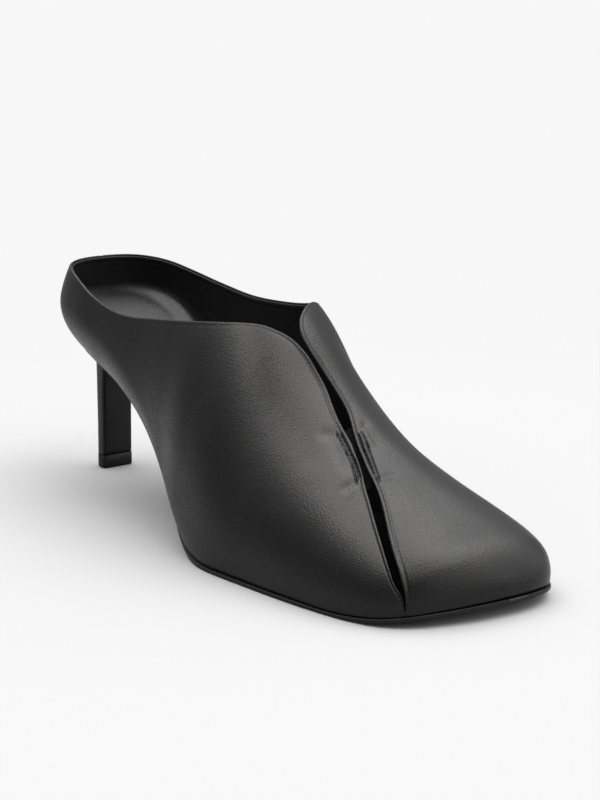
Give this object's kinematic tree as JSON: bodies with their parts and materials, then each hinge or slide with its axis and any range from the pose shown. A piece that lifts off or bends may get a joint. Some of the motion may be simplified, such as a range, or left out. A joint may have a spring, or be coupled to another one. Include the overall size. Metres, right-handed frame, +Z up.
{
  "type": "heeled mule",
  "caption": "Slip-on leather mule for the right foot with a closed squared toe, split vamp joined by a stitched tack, low back collar and slim covered heel.",
  "frame": {"origin": "centre of the bounding box in X and Y, on the floor plane under the shoe", "axes": "+Z up, toe toward -Y, heel toward +Y, outer side of the right foot toward -X"},
  "size_m": [0.0856, 0.2416, 0.0842],
  "materials": {
    "upper": "satin black, fine grain",
    "sole": "matt black",
    "insole": "matt black, padded",
    "heel": "satin black cover over a hard block",
    "heel_tip": "matt black"
  },
  "bodies": {
    "root": {"upper": "upper", "sole": "sole", "insole": "insole", "heel": "heel", "heel_tip": "heel_tip"}
  },
  "joints": []
}
